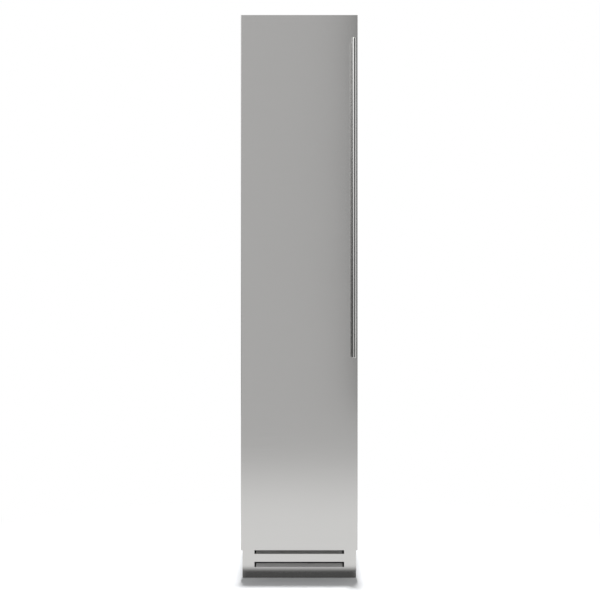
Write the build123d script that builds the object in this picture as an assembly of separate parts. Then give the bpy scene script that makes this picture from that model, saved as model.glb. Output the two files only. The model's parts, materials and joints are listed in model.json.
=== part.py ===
from build123d import *
import os

# Column freezer: a tall, narrow freezer with one full-height door, an adjustable front pair of
# feet, a rear pair of rollers and its cooling machinery in a step at the bottom of the back.
# Lengths are millimetres. X goes right, Y goes back and Z goes up. The origin is on the floor,
# under the middle of the whole box, which runs from the front of the handle to the back of the case.

# Whole freezer
total_height = 2134             # floor to the top edge of the door
door_above_case = 13            # top of the case to the top edge of the door
door_width = 440
door_overhang = 3.5             # side of the case to the edge of the door
face_to_back = 610              # door face to the back of the case
door_thickness = 62
seal_gap = 12                   # back of the door to the front of the case
handle_reach = 57               # door face to the front of the handle

# Clearances
running_gap = 0.05              # pins in bushes and shafts in bearings
slip_gap = 0.3                  # pieces that slide, hang or lift out
overrun = 1                     # how far a cut runs past a face

# Case
sheet = 0.8                     # outer steel sheet
case_foot = 24                  # lower edge of the side sheets
rear_flange = 15                # turned-in edge at the back of the side sheets
frame_sheet = 2                 # steel ring round the front opening
floor_rise = 15                 # underside of the door to the outer face of the insulated floor
room_over_pan = 98              # drip pan to the outer face over the machine space
compressor_front_gap = 29.5     # riser of the machine space to the compressor

# Insulated walls, outer face to the inside of the cavity
side_wall = 48
floor_wall = 65
riser_wall = 45
hump_wall = 60
back_wall = 56
top_wall = 60
liner_sheet = 1
breaker_width = 10              # plastic strip between the front ring and the liner

# Door
door_bottom = 117.5             # lower edge of the door face
face_drop = 7.5                 # how far the face hangs below the rest of the door
skin = 1.2
skin_bend = 2
door_liner_sheet = 2
end_cap = 12

# Door liner ribs that carry the bins
rib_width = 18
rib_depth = 45
rib_wall = 2
rib_side_gap = 10.4             # side of the cavity to a rib
rib_end = 30                    # how far a rib runs past the lowest and the highest bin
lug_width = 8
lug_height = 10
lug_depth = 35

# Door bins
bin_depth = 95
bin_height_share = 0.4          # of the step from shelf to shelf
bin_wall = 2.5
bin_corner = 8
bin_rise = 60                   # lowest shelf to the underside of the lowest bin
bin_count = 3

# Door gasket, from the door to the case
gasket_inset = 15               # door edge to the gasket
gasket_width = 18
gasket_base = 3
gasket_neck_width = 8
gasket_neck = 3
gasket_relief = 0.5             # what the sealing face is short of the case
gasket_bottom_rise = 15         # underside of the door to the gasket
gasket_top_drop = 12

# Hinges
pin_radius = 5
pin_inset = 14                  # hinge edge of the door to the pin
pin_setback = 22                # back of the door to the pin
pin_in_door = 25
pin_head_radius = 7.5
pin_head = 2
bush_wall = 4
bush_length = 30
bush_end = 3
bush_flange = 1
bush_flange_radius = 12
bracket_plate = 5
lower_plate = 5.5
bracket_side = 10               # pin to the outer edge of a bracket
bracket_reach = 34              # pin to the inner edge
bracket_nose = 14               # pin to the front edge
bracket_tail = 60               # front of the case to the back edge of the top bracket
bracket_leg = 5
bracket_leg_height = 48.5
backing_plate = 4
backing_inset = 3               # edges of the top bracket to the plate under it
screw_radius = 3
screw_head_radius = 5.5
screw_head = 3
screw_beyond = 2                # screw end past what it holds
top_screw_first = 20            # front of the case to the first screw
top_screw_step = 24
top_screw_count = 2
leg_screw_first = 10            # end of the bracket's leg to a screw
leg_screw_step = 14
leg_screw_count = 3
screw_from_pin = 12

# Handle
handle_radius = 9
handle_wall = 1.5
handle_inset = 16.5             # handle axis to the free edge of the door
handle_bottom = 844.5
handle_from_top = 95.5          # top edge of the door to the top of the handle
handle_end = 4                  # thickness of an end cap
handle_end_plug = 12
handle_end_round = 2
post_radius = 6
post_inset = 140                # end of the handle to a post
post_foot_radius = 9
post_foot = 2.5
stud_radius = 3
stud_length = 14
nut_radius = 8
nut_height = 6

# Toe kick
toe_setback = 60                # door face to the toe kick
toe_sheet = 1.2
toe_bottom = 2
toe_gap = 2.5                   # toe kick to the lower edge of the door
toe_return = 7
slot_from_side = 45.5           # side of the case to the end of a slot
slot_height = 20
slot_bottom = 42
slot_from_top = 3               # top of the toe kick to the upper slot
slot_count = 2
blade_end_gap = 6
blade_run = 8
blade_rise = 13.5

# Base frame
pan_sheet = 2
pan_underside = 28
pan_flange = 40
post_sheet = 3
post_width = 45.7
rail_height = 12
arm_width = 20
arm_gap = 10                    # hinge bracket's leg to the arm under it
arm_bottom = 34
arm_inset = 16.5                # side of the case to an arm
boss_radius = 12
boss_height = 22

# Front feet
foot_setback = 45               # front of the case to a foot
foot_inset = 31.5               # side of the case to a foot
foot_radius = 22
foot_pad = 10
foot_round = 2
foot_hex = 10
stem_radius = 4.95
stem_top = 62

# Rear rollers
roller_radius = 20
roller_width = 17
roller_round = 2
axle_radius = 4
roller_from_back = 60
roller_inset = 22               # side of the case to the middle of a roller
fork_sheet = 2
fork_gap = 1
fork_length = 32
fork_bottom = 8
fork_hole_gap = 2

# Compressor
compressor_share = 0.4157       # of half the case, from the middle to the compressor
compressor_from_back = 98.5
compressor_radius = 72
compressor_height = 167
compressor_round = 30
mount_plate = 3
mount_plate_length = 136
mount_plate_width = 126
grommet_x = 58
grommet_y = 50
grommet_radius = 10
grommet_height = 12
stub_length = 14

# Condenser and evaporator coils
tube_radius = 4
tube_bend = 20
tight_bend_share = 0.98         # of the half pitch of the rows
fin_sheet = 0.5
end_sheet = 1.5
fin_margin = 8
coil_end = 10                   # straight tube past the last fin

condenser_from_side = 51.5      # side of the case to the middle of the coil
condenser_spread = 40           # distance between its two tube rows
condenser_roller_gap = 2        # rear plate of the coil to the roller behind it
condenser_rows = 4
condenser_fin_count = 10
condenser_bottom = 60

evaporator_end_gap = 33.5       # side of the cavity to the end of the coil
evaporator_rows = 8
evaporator_fin_count = 20
evaporator_rise = 80            # liner step to the lowest tubes
evaporator_spread = 26
trough_sheet = 1.5
trough_height = 20
trough_margin = 10
trough_rise = 10                # liner step to the trough

# Condenser fan
fan_to_compressor = 145         # fan plate to the middle of the compressor
fan_plate_sheet = 1.5
fan_plate_side_gap = 4
fan_height = 138
fan_radius = 66
fan_hole_gap = 4
fan_hub_radius = 20
fan_hub = 20
blade_sheet = 2
blade_count = 5
blade_tilt = 30
blade_depth_share = 0.8         # of the hub
motor_shaft_radius = 3
motor_radius = 24
motor_length = 34
motor_gap = 2
arm_sheet = 3

# Evaporator fan
cold_fan_rise = 250             # highest evaporator tubes to the middle of the fan
cold_fan_radius = 52
cold_hub_radius = 16
cold_hub = 16
cold_fan_gap = 5                # cover to the fan
cold_motor_radius = 20
grille_slot = 6
grille_pitch = 13
grille_count = 7

# Cover over the evaporator
duct_depth = 68                 # cover face to the back of the cavity
cover_sheet = 2
vent_slot_height = 10
vent_slot_end = 53.5            # side of the cavity to the end of a slot
vent_slot_pitch = 24
vent_slot_count = 3
vent_from_top = 60
return_from_bottom = 40

# Drip pan and drain
drip_half = 62
drip_height = 30
drip_wall = 2
drip_corner = 12
drain_radius = 8
drain_wall = 1.5
drain_from_back = 85
drain_above_pan = 8

# Electrics box, power inlet, water valve and rear cover
box_left_gap = 10
box_right_gap = 10.7            # electrics box to the capillary tube
box_front_gap = 27.2            # riser of the machine space to the electrics box
box_height = 80
box_wall = 2
box_back_gap = 20
inlet_width = 28
inlet_height = 20
inlet_wall = 3
inlet_from_side = 60
inlet_drop = 40                 # underside of the machine space roof to the inlet's middle
inlet_blade = 2
inlet_blade_length = 12
inlet_blade_pitch = 7
inlet_flange = 6
inlet_flange_sheet = 2
valve_from_side = 46.5          # side of the case to the valve's middle
valve_drop = 50
valve_radius = 13.2
valve_thread = 12
valve_bore = 7
valve_body = 34
valve_body_length = 34
valve_opening = 22              # hole round the stub in the rear cover
valve_hanger = 2                # tab from the valve up to the roof of the machine space
water_tube_radius = 3.2
water_tube_from_top = 76        # ceiling to the tube's highest run
water_tube_bend = 14
water_tube_drop = 34            # last bend to the open end over the mould
cover_thickness = 1
cover_side_gap = 0.7
cover_slot_width = 60
cover_slot_height = 7
cover_slot_pitch = 20
cover_slot_rows = 8
cover_slot_columns = 4
cover_slot_spacing = 90
cover_slot_first = 60

# Refrigerant lines
line_radius = 3
line_bend = 4
line_setback = 10               # condenser ends to the lines in front of them
suction_gap = 13                # compressor to the line that comes down beside it
capillary_gap = 20              # fan plate to the capillary tube
capillary_radius = 1.5
drier_radius = 9
drier_length = 80
drier_rise = 30

# Bracket on top that keeps the freezer from tipping
tip_sheet = 2
tip_half = 60
tip_foot = 20
tip_width = 30
tip_rise = 8
tip_from_back = 10
tip_hole_radius = 3.3
tip_hole_step = 80

# Shelves
shelf_gap = 9.5                 # door bins to the shelves
glass = 5
drawer_space_share = 0.301      # of the height over the liner step, up to the lowest shelf
ice_space = 411                 # ice shelf to the ceiling
shelf_count = 3                 # under the ice shelf
ice_shelf_front = 52.5          # front of the case to the ice shelf
glass_side_gap = 1
rail_wide = 10
rail_high = 8
trim_high = 12
trim_deep = 9
trim_wall = 1.5

# Drawers
drawer_setback = 22             # front of the case to the drawer fronts
drawer_front = 6
drawer_side_gap = 3.5
drawer_wall = 3
tub_side_gap = 12.5
drawer_corner = 8
drawer_back_gap = 8
drawer_floor_gap = 7
drawer_top_gap = 5              # lowest drawer to the height of the liner step
drawer_step_gap = 10            # liner step to the drawer over it
drawer_spacing = 15             # tall drawers to each other and to the lowest shelf
runner_high = 8
runner_side_gap = 2.5
runner_from_top = 45
channel_wall = 2
channel_wide = 10
channel_setback = 35
notch_half = 55
notch_depth = 24
notch_round = 10

# Ice bin
ice_bin_side_gap = 18.5         # side of the cavity to the bin under its rim
ice_bin_height = 130
ice_bin_wall = 3
ice_bin_corner = 14
ice_bin_overhang = 12
ice_bin_back_gap = 12
ice_bin_lip = 8

# Ice maker
mould_half = 38
mould_from_side = 46.5          # side of the cavity to the middle of the mould
mould_back_gap = 21.5           # mould to the evaporator's cover
mould_from_top = 203            # ceiling to the underside of the mould
mould_height = 32
shaft_rise = 5                  # top of the mould to the ejector shaft
cup_radius = 28
cup_width = 24
cup_wall = 5
cup_count = 7
shaft_radius = 4
finger_reach = 25
finger_width = 6
finger_sheet = 4
head_depth = 40
head_height = 78
shaft_in_head = 20
end_plate = 6
end_plate_height = 50
hanger_sheet = 2
hanger_height = 60
wire_radius = 1.5
wire_x_gap = 8                  # mould to the wire's pivot
wire_rise = 16                  # underside of the mould to the pivot
wire_drop = 62
wire_bend = 6
wire_in_head = 8
wire_end_gap = 12
lug_wrap = 4

# Control panel, display, rocker and lights
panel_height = 65
panel_depth = 52
panel_from_front = 5
panel_side_gap = 0.5
panel_wall = 2.5
panel_round = 4
display_half = 60
display_height = 34
display_glass = 2
display_rise = 16
rocker_from_side = 50.5         # side of the cavity to the middle of the rocker
rocker_half = 10
rocker_height = 12
rocker_depth = 9
rocker_proud = 2
rocker_tilt = 6
rocker_gap = 0.8
rocker_pin_radius = 1.5
rocker_pin_length = 3
light_wide = 8
light_thick = 6
light_from_front = 12
light_gap = 6                   # panel to the top of a light
light_rise = 10                 # lowest shelf to a light

# Places worked out from the sizes
whole_depth = face_to_back + handle_reach
half_door = door_width / 2
half_case = half_door - door_overhang
case_height = total_height - door_above_case
core_bottom = door_bottom + face_drop
floor_height = core_bottom + floor_rise
pan_top = pan_underside + pan_sheet
compressor_bottom = pan_top + grommet_height + mount_plate
drip_bottom = compressor_bottom + compressor_height
hump_height = drip_bottom + drip_height + room_over_pan
door_front = handle_reach - whole_depth / 2
door_back = door_front + door_thickness
case_front = door_back + seal_gap
case_back = whole_depth / 2
inside_half = half_case - sheet
foam_front = case_front + frame_sheet
foam_back = case_back - sheet * 2
foam_top = case_height - sheet
machine_front = case_back - compressor_from_back - compressor_radius - compressor_front_gap
cavity_half = half_case - side_wall
cavity_floor = floor_height + floor_wall
cavity_riser = machine_front - riser_wall
cavity_hump = hump_height + hump_wall
cavity_back = case_back - back_wall
cavity_ceiling = case_height - top_wall
core_top = case_height - bush_flange - running_gap
core_front = door_front + skin
core_back = door_back - door_liner_sheet
core_half = half_door - skin
pin_x = pin_inset - half_door
pin_y = door_back - pin_setback
lower_bracket_top = core_bottom - bush_flange - running_gap
lower_bracket_bottom = lower_bracket_top - lower_plate
leg_foot = lower_bracket_bottom - bracket_leg_height
handle_x = half_door - handle_inset
handle_length = total_height - handle_from_top - handle_bottom
handle_y = door_front - handle_reach + handle_radius
toe_front = door_front + toe_setback
toe_inside = toe_front + toe_sheet
toe_top = door_bottom - toe_gap
slot_half_width = half_case - slot_from_side
slot_step = (toe_top - slot_from_top - slot_height - slot_bottom) / (slot_count - 1)
pan_front = case_front + post_sheet
cover_inside = case_back - sheet - cover_thickness
foot_x = half_case - foot_inset
foot_y = case_front + foot_setback
roller_x = half_case - roller_inset
roller_y = case_back - roller_from_back
cold_cover = cavity_back - duct_depth
machine_roof = hump_height - sheet
compressor_x = half_case * compressor_share
compressor_y = case_back - compressor_from_back
drain_y = case_back - drain_from_back
valve_x = half_case - valve_from_side
valve_z = machine_roof - valve_drop
water_tube_top = cavity_ceiling - water_tube_from_top
suction_x = compressor_x - compressor_radius - suction_gap
mould_x = mould_from_side - cavity_half
mould_bottom = cavity_ceiling - mould_from_top
mould_top = mould_bottom + mould_height
shaft_z = mould_top + shaft_rise
mould_length = cup_count * cup_width + (cup_count + 1) * cup_wall
mould_back = cold_cover - mould_back_gap
mould_front = mould_back - mould_length
condenser_x = condenser_from_side - half_case
condenser_front = machine_front + tube_bend
condenser_plate_back = roller_y - roller_radius - condenser_roller_gap
condenser_length = condenser_plate_back + tube_bend + coil_end - condenser_front
fan_plate_x = compressor_x - fan_to_compressor
capillary_x = fan_plate_x - capillary_gap
evaporator_y = cold_cover + duct_depth / 2
evaporator_length = (cavity_half - evaporator_end_gap) * 2
evaporator_bottom = cavity_hump + evaporator_rise
evaporator_top = evaporator_bottom + (evaporator_rows - 1) * tube_bend * 2
cold_fan_height = evaporator_top + cold_fan_rise
vent_slot_half = cavity_half - vent_slot_end
ice_shelf = cavity_ceiling - ice_space
lowest_shelf = cavity_hump + (cavity_ceiling - cavity_hump) * drawer_space_share
shelf_step = (ice_shelf - lowest_shelf) / shelf_count
bin_half_width = cavity_half - rib_side_gap - rib_width - slip_gap
lowest_bin = lowest_shelf + bin_rise
bin_height = shelf_step * bin_height_share
first_drawer = cavity_floor + drawer_floor_gap
first_drawer_height = cavity_hump - drawer_top_gap - first_drawer
second_drawer = cavity_hump + drawer_step_gap
tall_drawer_height = (lowest_shelf - second_drawer) / 2 - drawer_spacing
third_drawer = second_drawer + tall_drawer_height + drawer_spacing
ice_bin_half = cavity_half - ice_bin_side_gap
panel_front = case_front + panel_from_front
panel_bottom = cavity_ceiling - panel_height
rocker_x = cavity_half - rocker_from_side
light_bottom = lowest_shelf + light_rise


def block(x0, x1, y0, y1, z0, z1):
    """A box between two corners."""
    middle = Pos((x0 + x1) / 2, (y0 + y1) / 2, (z0 + z1) / 2)
    return middle * Box(x1 - x0, y1 - y0, z1 - z0)


def rod_x(radius, x0, x1, y, z):
    """A round bar along X."""
    return Pos((x0 + x1) / 2, y, z) * Rot(0, 90, 0) * Cylinder(radius, x1 - x0)


def rod_y(radius, y0, y1, x, z):
    """A round bar along Y."""
    return Pos(x, (y0 + y1) / 2, z) * Rot(90, 0, 0) * Cylinder(radius, y1 - y0)


def rod_z(radius, z0, z1, x, y):
    """A round bar along Z."""
    return Pos(x, y, (z0 + z1) / 2) * Cylinder(radius, z1 - z0)


def across(points, x0, x1):
    """An outline of (y, z) points, drawn out along X."""
    outline = Plane.YZ * Polygon(*points, align=None)
    return Pos(x0, 0, 0) * extrude(outline, amount=x1 - x0, dir=(1, 0, 0))


def pipe(points, radius, bend):
    """A round bar bent along a route."""
    route = FilletPolyline(*points, radius=bend)
    start = Plane(origin=route @ 0, z_dir=route % 0)
    return sweep(start * Circle(radius), path=route)


def both_sides(solid):
    """A solid and its twin on the other side of the freezer."""
    return [solid, mirror(solid, about=Plane.YZ)]


def group(*solids):
    """Separate solids kept as one node."""
    flat = []
    for solid in solids:
        if isinstance(solid, (list, tuple)):
            flat.extend(solid)
        else:
            flat.append(solid)
    return Compound([piece for solid in flat for piece in solid.solids()])


def less(solid, cutters):
    """A solid with each cutter taken away."""
    for cutter in cutters:
        solid = solid - cutter
    return solid


def round_upright(solid, radius):
    """A solid with its vertical edges rounded."""
    return fillet(solid.edges().filter_by(Axis.Z), radius)


def stepped(front, riser, back, floor, hump, top):
    """Side outline of a space whose floor steps up over the machine space."""
    return [(front, floor), (riser, floor), (riser, hump), (back, hump), (back, top), (front, top)]


def ring(half, bottom, top, width, y0, y1):
    """A flat rectangular ring that faces the front."""
    outer = block(-half, half, y0, y1, bottom, top)
    hole = block(width - half, half - width, y0 - overrun, y1 + overrun, bottom + width, top - width)
    return outer - hole


def case_sheets():
    """Outer sheets: sides with rear flanges, top, back and the stepped floor."""
    side = block(inside_half, half_case, foam_front, case_back, case_foot, case_height)
    flange_x = half_case - rear_flange
    flange = block(flange_x, inside_half, case_back - sheet, case_back, case_foot, case_height)
    top = block(-inside_half, inside_half, foam_front, case_back - sheet, foam_top, case_height)
    back = block(-inside_half, inside_half, foam_back, case_back - sheet, hump_height, foam_top)
    riser_front = machine_front - sheet
    front = block(-inside_half, inside_half, foam_front, riser_front, floor_height - sheet, floor_height)
    riser = block(-inside_half, inside_half, riser_front, machine_front, floor_height - sheet, hump_height)
    roof = block(-inside_half, inside_half, machine_front, foam_back, machine_roof, hump_height)
    return both_sides(side + flange), top, back, [front, riser, roof]


def insulation():
    """Foam between the outer sheets and the liner."""
    outline = stepped(foam_front, machine_front - sheet, foam_back, floor_height, hump_height, foam_top)
    cavity = stepped(
        foam_front - overrun,
        cavity_riser + liner_sheet,
        cavity_back + liner_sheet,
        cavity_floor - liner_sheet,
        cavity_hump - liner_sheet,
        cavity_ceiling + liner_sheet,
    )
    hollow_half = cavity_half + liner_sheet
    return across(outline, -inside_half, inside_half) - across(cavity, -hollow_half, hollow_half)


def liner_panels():
    """Inner sheets: two sides, floor, riser, step, back and ceiling."""
    outer = stepped(
        foam_front,
        cavity_riser + liner_sheet,
        cavity_back + liner_sheet,
        cavity_floor - liner_sheet,
        cavity_hump - liner_sheet,
        cavity_ceiling + liner_sheet,
    )
    sides = both_sides(across(outer, cavity_half, cavity_half + liner_sheet))
    x = cavity_half
    floor = block(-x, x, foam_front, cavity_riser, cavity_floor - liner_sheet, cavity_floor)
    riser_back = cavity_riser + liner_sheet
    riser = block(-x, x, cavity_riser, riser_back, cavity_floor - liner_sheet, cavity_hump)
    step = block(-x, x, riser_back, cavity_back, cavity_hump - liner_sheet, cavity_hump)
    back_low = cavity_hump - liner_sheet
    back = block(-x, x, cavity_back, cavity_back + liner_sheet, back_low, cavity_ceiling + liner_sheet)
    ceiling = block(-x, x, foam_front, cavity_back, cavity_ceiling, cavity_ceiling + liner_sheet)
    return sides, floor, riser, step, back, ceiling


def front_rings():
    """Steel ring that the gasket meets, and the strip between it and the liner."""
    hole_half = cavity_half + breaker_width
    hole_low = cavity_floor - breaker_width
    hole_high = cavity_ceiling + breaker_width
    plate = block(-half_case, half_case, case_front, foam_front, core_bottom, case_height)
    y0 = case_front - overrun
    y1 = foam_front + overrun
    frame = plate - block(-hole_half, hole_half, y0, y1, hole_low, hole_high)
    strip = block(-hole_half, hole_half, case_front, foam_front, hole_low, hole_high)
    strip = strip - block(-cavity_half, cavity_half, y0, y1, cavity_floor, cavity_ceiling)
    return frame, strip


def hinge_parts():
    """Brackets, backing plate, pins and screws of both hinges."""
    x0 = pin_x - bracket_side
    x1 = pin_x + bracket_reach
    nose = pin_y - bracket_nose
    tail = case_front + bracket_tail
    bracket_top = case_height + bracket_plate
    top_plate = block(x0, x1, nose, tail, case_height, bracket_top)
    shelf = block(x0, x1, nose, case_front, lower_bracket_bottom, lower_bracket_top)
    leg = block(x0, x1, case_front - bracket_leg, case_front, leg_foot, lower_bracket_bottom)
    plate_bottom = foam_top - backing_plate
    plate_x = x0 + backing_inset
    plate_front = foam_front + backing_inset
    backing = block(plate_x, x1 - backing_inset, plate_front, tail, plate_bottom, foam_top)
    pin = rod_z(pin_radius, core_top - pin_in_door, bracket_top, pin_x, pin_y)
    head = rod_z(pin_head_radius, bracket_top, bracket_top + pin_head, pin_x, pin_y)
    top_pin = pin + head
    low_pin = rod_z(pin_radius, lower_bracket_bottom, core_bottom + pin_in_door, pin_x, pin_y)
    screws = []
    screw_x = pin_x + screw_from_pin
    for count in range(top_screw_count):
        y = case_front + top_screw_first + count * top_screw_step
        shank = rod_z(screw_radius, plate_bottom - screw_beyond, bracket_top, screw_x, y)
        cap = rod_z(screw_head_radius, bracket_top, bracket_top + screw_head, screw_x, y)
        screws.append(shank + cap)
    leg_front = case_front - bracket_leg
    for count in range(leg_screw_count):
        z = leg_foot + leg_screw_first + count * leg_screw_step
        shank = rod_y(screw_radius, leg_front, pan_front + screw_beyond, screw_x, z)
        cap = rod_y(screw_head_radius, leg_front - screw_head, leg_front, screw_x, z)
        screws.append(shank + cap)
    brackets = [top_plate, shelf + leg, backing]
    brackets = [less(bracket, [top_pin, low_pin] + screws) for bracket in brackets]
    return brackets, [top_pin, low_pin], screws


def bush(face, inward):
    """A flanged bush in the door's edge at height face, and the room that it needs."""
    far = face + inward * bush_length
    outer = rod_z(pin_radius + bush_wall, min(face, far), max(face, far), pin_x, pin_y)
    rim = face - inward * bush_flange
    flange = rod_z(bush_flange_radius, min(face, rim), max(face, rim), pin_x, pin_y)
    bore_end = far - inward * bush_end
    bore_start = rim - inward * overrun
    low = min(bore_start, bore_end)
    high = max(bore_start, bore_end)
    bore = rod_z(pin_radius + running_gap, low, high, pin_x, pin_y)
    return outer + flange - bore, outer


def handle_parts():
    """Tube handle, end caps, posts with studs, and the nuts inside the door."""
    top = handle_bottom + handle_length
    ends = [handle_bottom, top]
    tube = rod_z(handle_radius, handle_bottom + handle_end, top - handle_end, handle_x, handle_y)
    inner = handle_radius - handle_wall
    tube = tube - rod_z(inner, handle_bottom, top, handle_x, handle_y)
    caps = []
    posts = []
    nuts = []
    for end, inward in zip(ends, (1, -1)):
        shoulder = end + inward * handle_end
        cap = rod_z(handle_radius, min(end, shoulder), max(end, shoulder), handle_x, handle_y)
        cap = fillet(cap.edges().group_by(Axis.Z)[0 if inward > 0 else -1], handle_end_round)
        tip = shoulder + inward * handle_end_plug
        plug = rod_z(inner, min(shoulder, tip), max(shoulder, tip), handle_x, handle_y)
        caps.append(cap + plug)
        z = end + inward * post_inset
        post = rod_y(post_radius, handle_y, door_front, handle_x, z)
        post = post + rod_y(post_foot_radius, door_front - post_foot, door_front, handle_x, z)
        post = post - rod_z(handle_radius, z - nut_radius * 2, z + nut_radius * 2, handle_x, handle_y)
        stud_end = door_front + stud_length
        post = post + rod_y(stud_radius, door_front, stud_end, handle_x, z)
        posts.append(post)
        nut = Pos(handle_x, core_front + nut_height, z) * Rot(90, 0, 0)
        nut = nut * extrude(RegularPolygon(nut_radius, 6), amount=nut_height)
        nuts.append(nut - rod_y(stud_radius, core_front - overrun, stud_end, handle_x, z))
    return [tube] + caps, posts, nuts


def handle_room():
    """What the studs and nuts take out of the skin and the foam."""
    room = []
    room_end = door_front + stud_length + slip_gap
    for z in (handle_bottom + post_inset, handle_bottom + handle_length - post_inset):
        room.append(rod_y(stud_radius + slip_gap, door_front - overrun, core_front, handle_x, z))
        room.append(rod_y(nut_radius + slip_gap, core_front, room_end, handle_x, z))
    return room


def door_skin():
    """Steel face with its two side returns, and lips above and below the core."""
    outer = block(-half_door, half_door, door_front, door_back, door_bottom, total_height)
    corners = outer.edges().filter_by(Axis.Z).group_by(Axis.Y)[0]
    outer = fillet(corners, skin_bend)
    back = door_back + overrun
    inner = block(-core_half, core_half, core_front, back, 0, total_height + overrun)
    above = block(-door_width, door_width, core_front, back, core_top, total_height + overrun)
    below = block(-door_width, door_width, core_front, back, 0, core_bottom)
    return outer - inner - above - below


def rib_blocks(wall):
    """The two hollow uprights of the door liner, drawn in by wall on each side but the back."""
    low = lowest_bin - rib_end
    high = lowest_bin + (bin_count - 1) * shelf_step + bin_height + rib_end
    inner = bin_half_width + slip_gap
    outer = inner + rib_width
    back = door_back + rib_depth - wall
    return both_sides(block(inner + wall, outer - wall, core_back, back, low + wall, high - wall))


def door_core():
    """Foam, end caps, liner with its ribs and lugs, and bushes."""
    low_bush, low_room = bush(core_bottom, 1)
    top_bush, top_room = bush(core_top, -1)
    rooms = [low_room, top_room]
    foam_low = core_bottom + end_cap
    foam_high = core_top - end_cap
    foam = block(-core_half, core_half, core_front, core_back, foam_low, foam_high)
    for rib in rib_blocks(rib_wall):
        foam = foam + rib
    foam = less(foam, rooms + handle_room())
    low_cap = block(-core_half, core_half, core_front, core_back, core_bottom, foam_low)
    top_cap = block(-core_half, core_half, core_front, core_back, foam_high, core_top)
    caps = [less(cap, rooms) for cap in (low_cap, top_cap)]
    liner = block(-core_half, core_half, core_back, door_back, core_bottom, core_top)
    for rib in rib_blocks(0):
        liner = liner + rib
    lug_x = bin_half_width + slip_gap
    for count in range(bin_count):
        z = lowest_bin + count * shelf_step
        lug = block(lug_x - lug_width, lug_x, door_back, door_back + lug_depth, z - lug_height, z)
        for twin in both_sides(lug):
            liner = liner + twin
    liner = less(liner, rib_blocks(rib_wall))
    return foam, caps, liner, [low_bush, top_bush]


def door_bins():
    """Three clear bins that hang between the ribs."""
    bins = []
    y0 = door_back + slip_gap
    y1 = door_back + bin_depth
    for count in range(bin_count):
        z = lowest_bin + count * shelf_step
        x = bin_half_width
        outer = round_upright(block(-x, x, y0, y1, z, z + bin_height), bin_corner)
        x = bin_half_width - bin_wall
        inner = block(-x, x, y0 + bin_wall, y1 - bin_wall, z + bin_wall, z + bin_height + overrun)
        bins.append(outer - round_upright(inner, bin_corner - bin_wall))
    return bins


def door_gasket():
    """Seal with a base, a neck and a hollow head, all round the back of the door."""
    half = half_door - gasket_inset
    low = core_bottom + gasket_bottom_rise
    high = core_top - gasket_top_drop
    neck_start = door_back + gasket_base
    neck_end = neck_start + gasket_neck
    face = case_front - gasket_relief
    inset = (gasket_width - gasket_neck_width) / 2
    base = ring(half, low, high, gasket_width, door_back, neck_start)
    neck = ring(half - inset, low + inset, high - inset, gasket_neck_width, neck_start, neck_end)
    head = ring(half, low, high, gasket_width, neck_end, face)
    return base + neck + head


def toe_kick():
    """Recessed plinth panel with two louvred slots."""
    face = block(-half_case, half_case, toe_front, toe_inside, toe_bottom, toe_top)
    return_back = toe_inside + toe_return
    side = block(half_case - toe_sheet, half_case, toe_inside, return_back, toe_bottom, toe_top)
    top = block(-half_case, half_case, toe_inside, return_back, toe_top - toe_sheet, toe_top)
    panel = face + top
    for twin in both_sides(side):
        panel = panel + twin
    for count in range(slot_count):
        low = slot_bottom + count * slot_step
        high = low + slot_height
        panel = panel - block(
            -slot_half_width, slot_half_width, toe_front - overrun, toe_inside + overrun, low, high
        )
        root = [(toe_inside, low - toe_sheet), (toe_inside, low)]
        tip_y = toe_inside + blade_run
        tip = [(tip_y, low + blade_rise), (tip_y, low + blade_rise - toe_sheet)]
        blade_half = slot_half_width - blade_end_gap
        panel = panel + across(root + tip, -blade_half, blade_half)
    return panel


def base_frame(feet_room, screws):
    """Pan, side flanges, front posts and rails, toe kick arms, foot bosses, forks and axles."""
    frame = block(-inside_half, inside_half, pan_front, cover_inside, pan_underside, pan_top)
    flange_x = inside_half - pan_sheet
    flange = block(flange_x, inside_half, pan_front, cover_inside, pan_top, pan_top + pan_flange)
    post_x = inside_half - post_width
    post = block(post_x, inside_half, case_front, pan_front, pan_underside, core_bottom)
    arm_x = half_case - arm_inset
    arm = block(arm_x - arm_width, arm_x, toe_inside, case_front, arm_bottom, leg_foot - arm_gap)
    boss = rod_z(boss_radius, pan_top, pan_top + boss_height, foot_x, foot_y)
    frame = less(frame, both_sides(roller_window()))
    for solid in (flange, post, arm, boss):
        for twin in both_sides(solid):
            frame = frame + twin
    for low in (pan_underside, core_bottom - rail_height):
        frame = frame + block(-post_x, post_x, case_front, pan_front, low, low + rail_height)
    fork_x = roller_width / 2 + fork_gap
    for side in (-1, 1):
        x0 = roller_x + side * fork_x
        x1 = x0 + side * fork_sheet
        plate = block(
            min(x0, x1),
            max(x0, x1),
            roller_y - fork_length / 2,
            roller_y + fork_length / 2,
            fork_bottom,
            pan_underside,
        )
        for twin in both_sides(plate):
            frame = frame + twin
    axles = both_sides(roller_axle())
    frame = less(frame, feet_room + axles + screws)
    return [frame] + axles


def roller_axle():
    """Fixed axle of the right rear roller."""
    reach = roller_width / 2 + fork_gap + fork_sheet
    return rod_x(axle_radius, roller_x - reach, roller_x + reach, roller_y, roller_radius)


def roller_window():
    """Opening in the pan over the right rear roller."""
    half = roller_width / 2 + fork_gap
    reach = roller_radius + fork_hole_gap
    y0 = roller_y - reach
    y1 = roller_y + reach
    return block(roller_x - half, roller_x + half, y0, y1, pan_underside - overrun, pan_top + overrun)


def roller():
    """Right rear roller."""
    half = roller_width / 2
    wheel = rod_x(roller_radius, roller_x - half, roller_x + half, roller_y, roller_radius)
    wheel = fillet(wheel.edges(), roller_round)
    reach = half + overrun
    bore_radius = axle_radius + running_gap
    return wheel - rod_x(bore_radius, roller_x - reach, roller_x + reach, roller_y, roller_radius)


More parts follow.
